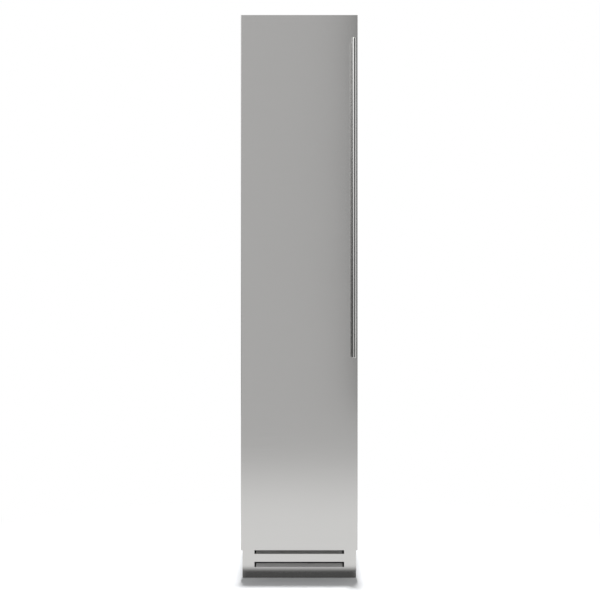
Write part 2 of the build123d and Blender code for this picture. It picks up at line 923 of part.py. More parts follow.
def foot():
    """Right front foot: pad, spanner collar and stem."""
    pad = rod_z(foot_radius, 0, foot_pad, foot_x, foot_y)
    pad = fillet(pad.edges(), foot_round)
    collar_height = pan_underside - slip_gap - foot_pad
    collar = Pos(foot_x, foot_y, foot_pad) * extrude(RegularPolygon(foot_hex, 6), amount=collar_height)
    stem = rod_z(stem_radius, foot_pad, stem_top, foot_x, foot_y)
    return pad + collar + stem


def foot_room():
    """Threaded hole for the right front foot."""
    high = pan_top + boss_height + overrun
    return rod_z(stem_radius + running_gap, pan_underside - overrun, high, foot_x, foot_y)


def compressor_parts():
    """Hermetic shell on a mounting plate, with four rubber grommets under it."""
    top = compressor_bottom + compressor_height
    shell = rod_z(compressor_radius, compressor_bottom, top, compressor_x, compressor_y)
    shell = fillet(shell.edges(), compressor_round)
    x0 = compressor_x - mount_plate_length / 2
    y0 = compressor_y - mount_plate_width / 2
    plate = block(
        x0,
        x0 + mount_plate_length,
        y0,
        y0 + mount_plate_width,
        compressor_bottom - mount_plate,
        compressor_bottom,
    )
    grommets = []
    for x in (compressor_x - grommet_x, compressor_x + grommet_x):
        for y in (compressor_y - grommet_y, compressor_y + grommet_y):
            grommets.append(rod_z(grommet_radius, pan_top, pan_top + grommet_height, x, y))
    return shell + plate, grommets


def coil(length, rows, spread, fin_count, plate_back, plate_low):
    """Two bent tubes through fins and two end plates, along X from the origin and up from it."""
    pitch = tube_bend * 2
    height = (rows - 1) * pitch
    tubes = []
    for y in (-spread / 2, spread / 2):
        points = []
        for row in range(rows):
            z = row * pitch
            ends = [(0, y, z), (length, y, z)]
            points.extend(ends if row % 2 == 0 else ends[::-1])
        tubes.append(pipe(points, tube_radius, tube_bend * tight_bend_share))
    deep = spread / 2 + tube_radius + fin_margin
    low = -tube_radius - fin_margin
    holes = []
    for row in range(rows):
        for y in (-spread / 2, spread / 2):
            holes.append(rod_x(tube_radius, -end_sheet, end_sheet, y, row * pitch))
    fin = less(block(0, fin_sheet, -deep, deep, low, height - low), holes)
    plate = less(block(0, end_sheet, -deep, plate_back, plate_low, height - low), holes)
    first = tube_bend + coil_end
    gap = (length - first * 2 - end_sheet) / (fin_count + 1)
    fins = [Pos(first + (count + 1) * gap, 0, 0) * fin for count in range(fin_count)]
    plates = [Pos(first, 0, 0) * plate, Pos(length - first - end_sheet, 0, 0) * plate]
    return tubes + fins + plates


def condenser():
    """Warm coil beside the fan, standing on the pan by its end plates."""
    place = Pos(condenser_x, condenser_front, condenser_bottom) * Rot(0, 0, 90)
    deep = condenser_spread / 2 + tube_radius + fin_margin
    pieces = coil(
        condenser_length,
        condenser_rows,
        condenser_spread,
        condenser_fin_count,
        deep,
        pan_top - condenser_bottom,
    )
    return [place * piece for piece in pieces]


def evaporator(drain):
    """Cold coil held on the back wall by its end plates, and the trough under it."""
    place = Pos(-evaporator_length / 2, evaporator_y, evaporator_bottom)
    pieces = coil(
        evaporator_length,
        evaporator_rows,
        evaporator_spread,
        evaporator_fin_count,
        cavity_back - evaporator_y,
        -tube_radius - fin_margin,
    )
    pieces = [place * piece for piece in pieces]
    x = evaporator_length / 2 + trough_margin
    y0 = cold_cover + cover_sheet + trough_margin
    y1 = cavity_back - slip_gap
    z0 = cavity_hump + trough_rise
    z1 = z0 + trough_height
    trough = block(-x, x, y0, y1, z0, z1)
    w = trough_sheet
    trough = trough - block(w - x, x - w, y0 + w, y1 - w, z0 + w, z1 + overrun)
    return pieces, trough - drain


def fan(hub_radius, hub, radius, blades):
    """A bladed fan about X, centred on the origin, with a bore for its shaft."""
    body = rod_x(hub_radius, -hub / 2, hub / 2, 0, 0)
    chord = hub * blade_depth_share
    for count in range(blades):
        wide = hub_radius
        root = hub_radius / 2
        blade = block(-blade_sheet / 2, blade_sheet / 2, -wide, wide, root, radius)
        blade = Rot(0, 0, blade_tilt) * blade
        limit = rod_x(radius, -chord / 2, chord / 2, 0, 0)
        body = body + Rot(360 / blades * count, 0, 0) * (blade & limit)
    return body - rod_x(motor_shaft_radius + running_gap, -hub, hub, 0, 0)


def condenser_fan_parts():
    """Fan plate with its hole, motor on a cross arm, and the fan."""
    z0 = pan_top
    z1 = machine_roof - box_height - fan_plate_side_gap
    y0 = machine_front + fan_plate_side_gap
    y1 = cover_inside - fan_plate_side_gap
    plate = block(fan_plate_x, fan_plate_x + fan_plate_sheet, y0, y1, z0, z1)
    hole = fan_radius + fan_hole_gap
    fan_y = compressor_y
    x0 = fan_plate_x - overrun
    x1 = fan_plate_x + fan_plate_sheet + overrun
    plate = plate - rod_x(hole, x0, x1, fan_y, fan_height)
    hub_end = fan_plate_x + fan_hub / 2
    motor_start = hub_end + motor_gap
    motor_end = motor_start + motor_length
    motor = rod_x(motor_radius, motor_start, motor_end, fan_y, fan_height)
    motor = motor + rod_x(motor_shaft_radius, fan_plate_x - fan_hub / 2, motor_start, fan_y, fan_height)
    arm_end = motor_start + arm_sheet
    reach = hole + arm_sheet * 2
    low = fan_height - arm_sheet
    high = fan_height + arm_sheet
    bar = block(motor_start, arm_end, fan_y - reach, fan_y + reach, low, high)
    foot_start = fan_plate_x + fan_plate_sheet
    for side in (-1, 1):
        edge = fan_y + side * reach
        inner = edge - side * arm_sheet
        bar = bar + block(foot_start, arm_end, min(edge, inner), max(edge, inner), low, high)
    wheel = Pos(fan_plate_x, fan_y, fan_height) * fan(fan_hub_radius, fan_hub, fan_radius, blade_count)
    return [plate, motor + bar], wheel


def evaporator_fan_parts():
    """Fan behind the cover's grille, and the motor that holds it on the back wall."""
    start = cold_cover + cover_sheet + cold_fan_gap
    middle = start + cold_hub / 2
    wheel = Pos(0, middle, cold_fan_height) * Rot(0, 0, 90)
    wheel = wheel * fan(cold_hub_radius, cold_hub, cold_fan_radius, blade_count)
    motor_start = start + cold_hub + motor_gap
    motor = rod_y(cold_motor_radius, motor_start, cavity_back, 0, cold_fan_height)
    motor = motor + rod_y(motor_shaft_radius, start, motor_start, 0, cold_fan_height)
    return motor, wheel


def evaporator_cover(tube_room):
    """Inner back panel with a fan grille, vents at the top and returns at the bottom."""
    x = cavity_half
    back = cold_cover + cover_sheet
    panel = block(-x, x, cold_cover, back, cavity_hump, cavity_ceiling)
    side = block(x - cover_sheet, x, back, cavity_back, cavity_hump, cavity_ceiling)
    for twin in both_sides(side):
        panel = panel + twin
    y0 = cold_cover - overrun
    y1 = back + overrun
    slots = []
    for count in range(vent_slot_count):
        for low in (
            cavity_ceiling - vent_from_top - vent_slot_height - count * vent_slot_pitch,
            cavity_hump + return_from_bottom + count * vent_slot_pitch,
        ):
            slots.append(block(-vent_slot_half, vent_slot_half, y0, y1, low, low + vent_slot_height))
    for count in range(grille_count):
        rise = (count - (grille_count - 1) / 2) * grille_pitch
        half = (cold_fan_radius**2 - rise**2) ** 0.5
        z = cold_fan_height + rise
        slots.append(block(-half, half, y0, y1, z - grille_slot / 2, z + grille_slot / 2))
    return less(panel, slots + tube_room)


def drip_pan():
    """Open tray on top of the compressor."""
    x0 = compressor_x - drip_half
    x1 = compressor_x + drip_half
    y0 = compressor_y - drip_half
    y1 = compressor_y + drip_half
    top = drip_bottom + drip_height
    w = drip_wall
    outer = round_upright(block(x0, x1, y0, y1, drip_bottom, top), drip_corner)
    inner = block(x0 + w, x1 - w, y0 + w, y1 - w, drip_bottom + w, top + overrun)
    return outer - round_upright(inner, drip_corner - w)


def drain_tube():
    """Tube from the trough to the drip pan, and the room that it takes."""
    low = drip_bottom + drip_height + drain_above_pan
    high = cavity_hump + trough_rise + trough_sheet
    outer = rod_z(drain_radius, low, high, compressor_x, drain_y)
    bore = rod_z(drain_radius - drain_wall, low - overrun, high + overrun, compressor_x, drain_y)
    return outer - bore, outer


def electrics():
    """Control box under the machine roof, with the power inlet in the back of the freezer."""
    x0 = -inside_half + box_left_gap
    x1 = capillary_x - box_right_gap
    y1 = cover_inside - box_back_gap
    y0 = machine_front + box_front_gap
    z0 = machine_roof - box_height
    w = box_wall
    case = block(x0, x1, y0, y1, z0, machine_roof)
    case = case - block(x0 + w, x1 - w, y0 + w, y1 - w, z0 + w, machine_roof - w)
    inlet_x = -half_case + inlet_from_side
    inlet_z = machine_roof - inlet_drop
    xa = inlet_x - inlet_width / 2
    xb = inlet_x + inlet_width / 2
    za = inlet_z - inlet_height / 2
    zb = inlet_z + inlet_height / 2
    face = case_back - sheet
    shell = block(xa, xb, y1, face, za, zb)
    f = inlet_flange
    rim = block(xa - f, xb + f, cover_inside - inlet_flange_sheet, cover_inside, za - f, zb + f)
    w = inlet_wall
    socket = block(xa + w, xb - w, y1 + inlet_flange_sheet, face + overrun, za + w, zb - w)
    inlet = shell + rim - socket
    for count in (-1, 0, 1):
        x = inlet_x + count * inlet_blade_pitch
        half = inlet_blade / 2
        y_end = y1 + inlet_flange_sheet + inlet_blade_length
        inlet = inlet + block(x - half, x + half, y1, y_end, inlet_z - inlet_blade, inlet_z + inlet_blade)
    return case, inlet, block(xa, xb, cover_inside - overrun, face + overrun, za, zb)


def water_parts():
    """Inlet valve hung from the roof, with its hose stub, and the tube up to the ice maker."""
    start = case_back - valve_thread
    half = valve_body / 2
    body_front = start - valve_body_length
    body = block(valve_x - half, valve_x + half, body_front, start, valve_z - half, valve_z + half)
    stub = rod_y(valve_radius, start, case_back, valve_x, valve_z)
    bore = rod_y(valve_bore, start, case_back + overrun, valve_x, valve_z)
    hanger_end = body_front + valve_hanger
    hanger = block(valve_x - half, valve_x + half, body_front, hanger_end, valve_z, machine_roof)
    valve = body + hanger + stub - bore
    tube_y = start - valve_body_length / 2
    points = [
        (valve_x, tube_y, valve_z + half),
        (valve_x, tube_y, water_tube_top),
        (mould_x, tube_y, water_tube_top),
        (mould_x, mould_back - cup_width, water_tube_top),
        (mould_x, mould_back - cup_width, water_tube_top - water_tube_drop),
    ]
    tube = pipe(points, water_tube_radius, water_tube_bend)
    room = rod_y(valve_opening, cover_inside - overrun, case_back, valve_x, valve_z)
    return valve, tube, room


def rear_cover(holes):
    """Slotted cover over the machine space."""
    top = machine_roof - slip_gap
    middle = (pan_underside + top) / 2
    face = Rectangle((inside_half - cover_side_gap) * 2, top - pan_underside)
    for column in range(cover_slot_columns):
        slot_x = (column - (cover_slot_columns - 1) / 2) * cover_slot_spacing
        for row in range(cover_slot_rows):
            z = cover_slot_first + row * cover_slot_pitch - middle
            face = face - Pos(slot_x, z) * SlotOverall(cover_slot_width, cover_slot_height)
    place = Pos(0, cover_inside + cover_thickness, middle)
    return less(place * extrude(Plane.XZ * face, amount=cover_thickness), holes)


def refrigerant_lines():
    """Lines between compressor, condenser, drier and evaporator, and the drier."""
    high = condenser_bottom + (condenser_rows - 1) * tube_bend * 2
    low = condenser_bottom
    inner_x = condenser_x + condenser_spread / 2
    outer_x = condenser_x - condenser_spread / 2
    end_y = condenser_front
    run_y = condenser_front - line_setback
    discharge = [
        (compressor_x, compressor_y - compressor_radius, high),
        (compressor_x, run_y, high),
        (inner_x, run_y, high),
        (inner_x, end_y, high),
    ]
    link = [(inner_x, end_y, low), (inner_x, run_y, low), (outer_x, run_y, low), (outer_x, end_y, low)]
    drier_low = high + drier_rise
    drier_high = drier_low + drier_length
    liquid = [(outer_x, end_y, high), (outer_x, run_y, high), (outer_x, run_y, drier_low)]
    drier = rod_z(drier_radius, drier_low, drier_high, outer_x, run_y)
    roof_run = drier_high + line_setback * 3
    front_y = evaporator_y - evaporator_spread / 2
    rear_y = evaporator_y + evaporator_spread / 2
    coil_x = -evaporator_length / 2
    turn_x = coil_x - line_setback * 2
    foam_z = hump_height + hump_wall / 2
    capillary = [
        (outer_x, run_y, drier_high),
        (outer_x, run_y, roof_run),
        (capillary_x, run_y, roof_run),
        (capillary_x, front_y, roof_run),
        (capillary_x, front_y, foam_z),
        (turn_x, front_y, foam_z),
        (turn_x, front_y, evaporator_bottom),
        (coil_x, front_y, evaporator_bottom),
    ]
    cross = [
        (coil_x, front_y, evaporator_top),
        (turn_x, front_y, evaporator_top),
        (turn_x, rear_y, evaporator_top),
        (coil_x, rear_y, evaporator_top),
    ]
    suction_z = compressor_bottom + compressor_height - compressor_round - stub_length
    suction = [
        (coil_x, rear_y, evaporator_bottom),
        (turn_x, rear_y, evaporator_bottom),
        (turn_x, rear_y, foam_z),
        (suction_x, rear_y, foam_z),
        (suction_x, rear_y, drier_high),
        (suction_x, compressor_y, drier_high),
        (suction_x, compressor_y, suction_z),
        (compressor_x - compressor_radius, compressor_y, suction_z),
    ]
    lines = [pipe(points, line_radius, line_bend) for points in (discharge, link, liquid, cross, suction)]
    return lines + [pipe(capillary, capillary_radius, line_bend), drier]


def anti_tip_bracket():
    """Raised strap on top at the back, with two holes for wall fastenings."""
    y1 = case_back - tip_from_back
    y0 = y1 - tip_width
    top = case_height + tip_rise + tip_sheet
    strap = block(-tip_half, tip_half, y0, y1, top - tip_sheet, top)
    web = block(tip_half - tip_sheet, tip_half, y0, y1, case_height, top)
    foot_pad_piece = block(tip_half, tip_half + tip_foot, y0, y1, case_height, case_height + tip_sheet)
    for solid in both_sides(web) + both_sides(foot_pad_piece):
        strap = strap + solid
    for x in (-tip_hole_step / 2, tip_hole_step / 2):
        strap = strap - rod_z(tip_hole_radius, top - tip_sheet - overrun, top + overrun, x, (y0 + y1) / 2)
    return strap


def shelves():
    """Glass shelves, their front trims and the side rails under them."""
    glasses = []
    trims = []
    rails = []
    back = cold_cover - slip_gap
    half = cavity_half - glass_side_gap
    for count in range(shelf_count + 1):
        z = lowest_shelf + count * shelf_step
        front = door_back + bin_depth + shelf_gap
        if count == shelf_count:
            front = case_front + ice_shelf_front
        pane = block(-half, half, front + trim_wall, back, z - glass, z)
        glasses.append(pane)
        trim = block(-half, half, front, front + trim_deep, z - trim_high, z)
        trims.append(trim - pane)
        rail_top = z - glass
        rail_front = front + trim_deep + trim_wall
        rail_x = cavity_half - rail_wide
        rail = block(rail_x, cavity_half, rail_front, back, rail_top - rail_high, rail_top)
        rails.extend(both_sides(rail))
    return glasses, trims, rails


def drawer(low, height, back):
    """A clear drawer: tub with side runners, and a front with a finger notch."""
    face = case_front + drawer_setback
    tub_front = face + drawer_front
    x = cavity_half - tub_side_gap
    w = drawer_wall
    tub = round_upright(block(-x, x, tub_front, back, low, low + height), drawer_corner)
    inner = block(w - x, x - w, tub_front + w, back - w, low + w, low + height + overrun)
    tub = tub - round_upright(inner, drawer_corner - w)
    runner_mid = low + height - runner_from_top
    runner_x = cavity_half - runner_side_gap
    runner = block(
        x,
        runner_x,
        tub_front + drawer_corner,
        back - drawer_corner,
        runner_mid - runner_high / 2,
        runner_mid + runner_high / 2,
    )
    for twin in both_sides(runner):
        tub = tub + twin
    half = cavity_half - drawer_side_gap
    high = low + height
    notch_low = high - notch_depth
    notch_back = tub_front + overrun
    notch = block(-notch_half, notch_half, face - overrun, notch_back, notch_low, high + overrun)
    corners = notch.edges().filter_by(Axis.Y).group_by(Axis.Z)[0]
    notch = fillet(corners, notch_round)
    front = block(-half, half, face, tub_front, low, high) - notch
    return [tub - notch, front]


def drawer_channels(low, height, back):
    """The pair of channels that a drawer's runners ride in."""
    runner_mid = low + height - runner_from_top
    half_open = runner_high / 2 + slip_gap
    half_out = half_open + channel_wall
    front = case_front + channel_setback
    channel_x = cavity_half - channel_wide
    outer = block(channel_x, cavity_half, front, back, runner_mid - half_out, runner_mid + half_out)
    inner = block(
        channel_x - overrun,
        cavity_half - channel_wall,
        front - overrun,
        back + overrun,
        runner_mid - half_open,
        runner_mid + half_open,
    )
    return both_sides(outer - inner)


def ice_bin():
    """Open bin that slides on the ice shelf."""
    y0 = case_front + ice_shelf_front - ice_bin_overhang
    y1 = cold_cover - ice_bin_back_gap
    z0 = ice_shelf + slip_gap
    z1 = z0 + ice_bin_height
    x = ice_bin_half
    w = ice_bin_wall
    outer = round_upright(block(-x, x, y0, y1, z0, z1), ice_bin_corner)
    rim_x = x + ice_bin_lip
    rim = block(-rim_x, rim_x, y0, y1, z1 - w, z1)
    inner = block(w - x, x - w, y0 + w, y1 - w, z0 + w, z1 + overrun)
    return outer + round_upright(rim, ice_bin_corner) - round_upright(inner, ice_bin_corner - w)


def ice_maker_parts():
    """Mould with its head, end plate and wall hanger; ejector; wire arm."""
    x0 = mould_x - mould_half
    x1 = mould_x + mould_half
    mould = block(x0, x1, mould_front, mould_back, mould_bottom, mould_top)
    fingers = rod_y(shaft_radius, mould_front - shaft_in_head, mould_back + end_plate, mould_x, shaft_z)
    for count in range(cup_count):
        y0 = mould_front + cup_wall + count * (cup_width + cup_wall)
        mould = mould - rod_y(cup_radius, y0, y0 + cup_width, mould_x, shaft_z)
        middle = y0 + cup_width / 2
        half = finger_width / 2
        tip = mould_x + finger_reach
        thin = finger_sheet / 2
        finger = block(mould_x, tip, middle - half, middle + half, shaft_z - thin, shaft_z + thin)
        fingers = fingers + finger
    pivot_x = x1 + wire_x_gap
    pivot_z = mould_bottom + wire_rise
    ear = wire_radius + lug_wrap
    head_front = mould_front - head_depth
    head = block(x0, x1, head_front, mould_front, mould_bottom, mould_bottom + head_height)
    ear_front = mould_front - head_depth / 2
    head = head + block(x1, pivot_x + ear, ear_front, mould_front, pivot_z - ear, pivot_z + ear)
    end_back = mould_back + end_plate
    end = block(x0, x1, mould_back, end_back, mould_bottom, mould_bottom + end_plate_height)
    end = end + block(x1, pivot_x + ear, mould_back, end_back, pivot_z - ear, pivot_z + ear)
    bearing = shaft_radius + running_gap
    shaft_front = mould_front - shaft_in_head - slip_gap
    bore = rod_y(bearing, shaft_front, end_back + overrun, mould_x, shaft_z)
    wire_bore = wire_radius + running_gap
    wire_front = mould_front - wire_in_head
    pivot = rod_y(wire_bore, wire_front - slip_gap, end_back + overrun, pivot_x, pivot_z)
    hanger = block(
        -cavity_half, x0, mould_front, mould_back, mould_top - hanger_sheet * 2, mould_top - hanger_sheet
    )
    hanger = hanger + block(
        -cavity_half,
        hanger_sheet - cavity_half,
        mould_front,
        mould_back,
        mould_top - hanger_sheet,
        mould_top + hanger_height,
    )
    maker = [less(mould, [bore]), less(head, [bore, pivot]), less(end, [bore, pivot]), hanger]
    near = mould_front + wire_end_gap
    far = mould_back - wire_end_gap
    low = pivot_z - wire_drop
    arm = pipe(
        [
            (pivot_x, wire_front, pivot_z),
            (pivot_x, near, pivot_z),
            (pivot_x, near, low),
            (pivot_x, far, low),
            (pivot_x, far, pivot_z),
            (pivot_x, end_back, pivot_z),
        ],
        wire_radius,
        wire_bend,
    )
    return maker, fingers, arm


def control_parts():
    """Panel under the ceiling with a touch display, a rocker switch and the light bars."""
    x = cavity_half - panel_side_gap
    back = panel_front + panel_depth
    w = panel_wall
    panel = block(-x, x, panel_front, back, panel_bottom, cavity_ceiling)
    low_front = panel.edges().filter_by(Axis.X).group_by(Axis.Z)[0].sort_by(Axis.Y)[0]
    panel = fillet(low_front, panel_round)
    z0 = panel_bottom + w
    inner_front = panel_front + display_glass + w
    panel = panel - block(w - x, x - w, inner_front, back - w, z0, cavity_ceiling - w)
    display_low = panel_bottom + display_rise
    display = block(
        -display_half,
        display_half,
        panel_front,
        panel_front + display_glass,
        display_low,
        display_low + display_height,
    )
    half = rocker_half
    middle = display_low + display_height / 2
    tall = rocker_height / 2
    pivot_y = panel_front + rocker_proud * 2
    rocker = block(-half, half, -rocker_proud * 2, rocker_depth - rocker_proud * 2, -tall, tall)
    room_half = half + rocker_gap
    pin_half = room_half + rocker_pin_length
    rocker = rocker + rod_x(rocker_pin_radius, -pin_half, pin_half, 0, 0)
    rocker = Pos(rocker_x, pivot_y, middle) * Rot(rocker_tilt, 0, 0) * rocker
    room_tall = tall + rocker_gap
    window = block(
        rocker_x - room_half,
        rocker_x + room_half,
        panel_front - overrun,
        inner_front + overrun,
        middle - room_tall,
        middle + room_tall,
    )
    hole_half = pin_half + slip_gap
    hole_radius = rocker_pin_radius + running_gap
    pin_hole = rod_x(hole_radius, rocker_x - hole_half, rocker_x + hole_half, pivot_y, middle)
    panel = panel - display - window - pin_hole
    light_y = case_front + light_from_front
    light = block(
        cavity_half - light_thick,
        cavity_half,
        light_y,
        light_y + light_wide,
        light_bottom,
        panel_bottom - light_gap,
    )
    return panel, display, rocker, both_sides(light)


os.makedirs("parts", exist_ok=True)

side_sheets, top_sheet, back_sheet, floor_sheets = case_sheets()
frame_ring, breaker = front_rings()
brackets, pins, screws = hinge_parts()
handle, posts, nuts = handle_parts()
foam, end_caps, liner, bushes = door_core()
drain, drain_room = drain_tube()
coil_pieces, trough = evaporator(drain_room)
lines = refrigerant_lines()
fan_mount, warm_fan = condenser_fan_parts()
cold_motor, cold_fan = evaporator_fan_parts()
shell, grommets = compressor_parts()
box_case, inlet, inlet_room = electrics()
valve, water_tube, valve_room = water_parts()
glasses, trims, shelf_rails = shelves()
maker, fingers, wire_arm = ice_maker_parts()
panel, display, rocker, lights = control_parts()
foot_holes = both_sides(foot_room())
feet = both_sides(foot())
rollers = both_sides(roller())

pipes_out = lines + [drain_room, water_tube]
side_screws = screws[top_screw_count:]
liner_sides, liner_floor, liner_riser, liner_step, liner_back, liner_ceiling = liner_panels()
step_holes = less(liner_step, pipes_out)
back_holes = less(liner_back, [water_tube])
roof_sheet = less(floor_sheets[2], pipes_out)
case_foam = less(insulation(), pipes_out + screws + brackets)
top_sheet = less(top_sheet, screws)
fan_mount = [less(piece, lines) for piece in fan_mount]

drawer_spaces = {
    "bottom_drawer": (first_drawer, first_drawer_height, cavity_riser - drawer_back_gap),
    "middle_drawer": (second_drawer, tall_drawer_height, cold_cover - drawer_back_gap),
    "top_drawer": (third_drawer, tall_drawer_height, cold_cover - drawer_back_gap),
}

nodes = {
    "case_sides": group(side_sheets),
    "case_top": top_sheet,
    "case_back": back_sheet,
    "case_floor": group(floor_sheets[:2], roof_sheet),
    "insulation": case_foam,
    "liner_panels": group(liner_sides, liner_floor, liner_riser, step_holes, back_holes, liner_ceiling),
    "front_frame": frame_ring,
    "breaker_strip": breaker,
    "hinge_brackets": group(brackets),
    "hinge_pins": group(pins),
    "hinge_screws": group(screws),
    "toe_kick": toe_kick(),
    "base_frame": group(base_frame(foot_holes, side_screws)),
    "left_front_foot": feet[1],
    "right_front_foot": feet[0],
    "left_rear_roller": rollers[1],
    "right_rear_roller": rollers[0],
    "compressor": shell,
    "compressor_grommets": group(grommets),
    "refrigerant_lines": group(lines),
    "condenser": group(condenser()),
    "condenser_fan_mount": group(fan_mount),
    "condenser_fan": warm_fan,
    "drip_pan": drip_pan(),
    "drain_tube": drain,
    "electrics_box": box_case,
    "power_inlet": inlet,
    "water_valve": valve,
    "water_tube": water_tube,
    "rear_cover": rear_cover([inlet_room, valve_room]),
    "anti_tip_bracket": anti_tip_bracket(),
    "evaporator": group(coil_pieces, trough),
    "evaporator_cover": evaporator_cover([water_tube]),
    "evaporator_fan_motor": cold_motor,
    "evaporator_fan": cold_fan,
    "control_panel": panel,
    "touch_display": display,
    "power_rocker": rocker,
    "light_bars": group(lights),
    "ice_maker": group(maker),
    "ice_ejector": fingers,
    "ice_feeler_arm": wire_arm,
    "ice_bin": ice_bin(),
    "glass_shelves": group(glasses),
    "shelf_trims": group(trims),
    "shelf_rails": group(shelf_rails),
    "drawer_channels": group(*[drawer_channels(*space) for space in drawer_spaces.values()]),
    "door_skin": less(door_skin(), handle_room()),
    "door_foam": foam,
    "door_end_caps": group(end_caps),
    "door_liner": liner,
    "door_gasket": door_gasket(),
    "hinge_bushes": group(bushes),
    "door_bins": group(door_bins()),
    "handle_bar": group(handle),
    "handle_posts": group(posts, nuts),
}
for name, space in drawer_spaces.items():
    nodes[name] = group(drawer(*space))

for name, shape in nodes.items():
    export_step(shape, f"parts/{name}.step")
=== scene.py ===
import json
import math

import bmesh
import bpy
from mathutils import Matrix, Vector


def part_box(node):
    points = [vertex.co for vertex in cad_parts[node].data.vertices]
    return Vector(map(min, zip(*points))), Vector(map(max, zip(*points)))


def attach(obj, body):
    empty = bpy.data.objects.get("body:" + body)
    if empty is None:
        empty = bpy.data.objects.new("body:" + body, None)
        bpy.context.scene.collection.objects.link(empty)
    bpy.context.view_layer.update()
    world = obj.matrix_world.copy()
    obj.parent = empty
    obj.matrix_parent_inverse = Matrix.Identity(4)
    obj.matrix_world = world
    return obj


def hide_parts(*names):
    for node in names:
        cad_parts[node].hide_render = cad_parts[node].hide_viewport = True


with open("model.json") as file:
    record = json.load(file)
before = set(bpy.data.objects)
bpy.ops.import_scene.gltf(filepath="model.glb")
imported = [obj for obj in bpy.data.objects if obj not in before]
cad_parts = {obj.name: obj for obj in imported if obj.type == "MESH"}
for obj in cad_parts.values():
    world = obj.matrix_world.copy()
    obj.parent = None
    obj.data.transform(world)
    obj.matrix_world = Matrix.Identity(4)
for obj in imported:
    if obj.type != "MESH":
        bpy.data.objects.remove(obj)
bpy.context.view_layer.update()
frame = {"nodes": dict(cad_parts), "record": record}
nodes = frame["nodes"]

# Camera, from the photo: level, 5 m in front of the door
CAMERA_PLACE = (0, -5.2765, 1.067)
CAMERA_PITCH = 90
LENS = 79.62
SENSOR = 36
SHIFT_X = 0.0012
SHIFT_Y = -0.003

# Light: the fill of the world, a sun nearly overhead, and a soft box on each side
FILL = 0.27
SUN = 3.1
SUN_TILT = 2.62
SUN_ANGLE = 1.8
SIDE_POWER = 7
SIDE_SIZE = (1.2, 1.8)
SIDE_PLACES = {"left_box": (-2.6, -2.2, 1.9), "right_box": (2.6, -2.2, 1.9)}
SIDE_TARGET = (0, 0, 1.1)

# Floor: its half width, then the distances from the middle over which it changes
FLOOR_HALF = 30
FLOOR_COLOUR = (0.785, 0.795, 0.81)
FLOOR_GLOW = 0.06
TURNS_WHITE = (0.9, 1.8)
# What shiny surfaces see in it: a painted shadow close to the object, then lit, then like the wall
MIRRORED_FLOOR = 0.97
PAINTED_MIRRORED_SHADOW = 0.1
SHADOW_EDGE = (0.325, 0.465)
SHADOW_DEPTH_TO_WIDTH = 1.62
TURNS_WALL = (1.5, 5.0)

# Walls that only shiny surfaces see, round the front of the studio
WALL_RADIUS = 8
WALL_HEIGHT = 7
WALL_STEPS = 12
WALL_LOW = 1.0
WALL_HIGH = 3.4
# Angles at the floor and at the top of the edge that leans
LEANING = (-20, -96)
# Each wall's first edge, last edge, and strength below WALL_LOW and above WALL_HIGH
WALLS = {
    "wall_far_left": ((-150, -150), LEANING, 0.1, 0.1),
    "wall_left": (LEANING, (-12, -12), 0.95, 1.5),
    "wall_front": ((-12, -12), (4.4, 4.4), 0.62, 0.62),
    "wall_right": ((4.4, 4.4), (55, 55), 0.08, 0.08),
    "wall_far_right": ((55, 55), (104, 104), 0.88, 0.88),
    "wall_side_right": ((104, 104), (150, 150), 0.1, 0.1),
}
WALL_FRONT = WALLS["wall_front"][2]


class Nodes:
    """A node tree, with short ways to add to it."""

    def __init__(self, tree):
        self.tree = tree

    def add(self, kind, **settings):
        node = self.tree.nodes.new(kind)
        for key, value in settings.items():
            setattr(node, key, value)
        return node

    def link(self, output, target):
        self.tree.links.new(output, target)

    def ramp(self, value, start, end, low=0, high=1, curve="LINEAR"):
        """A value between start and end, spread over low to high."""
        node = self.add("ShaderNodeMapRange", interpolation_type=curve)
        node.inputs["From Min"].default_value = start
        node.inputs["From Max"].default_value = end
        node.inputs["To Min"].default_value = low
        node.inputs["To Max"].default_value = high
        self.link(value, node.inputs["Value"])
        return node.outputs["Result"]

    def apart(self, position):
        """The coordinates of a position, by letter."""
        node = self.add("ShaderNodeSeparateXYZ")
        self.link(position, node.inputs[0])
        return node.outputs


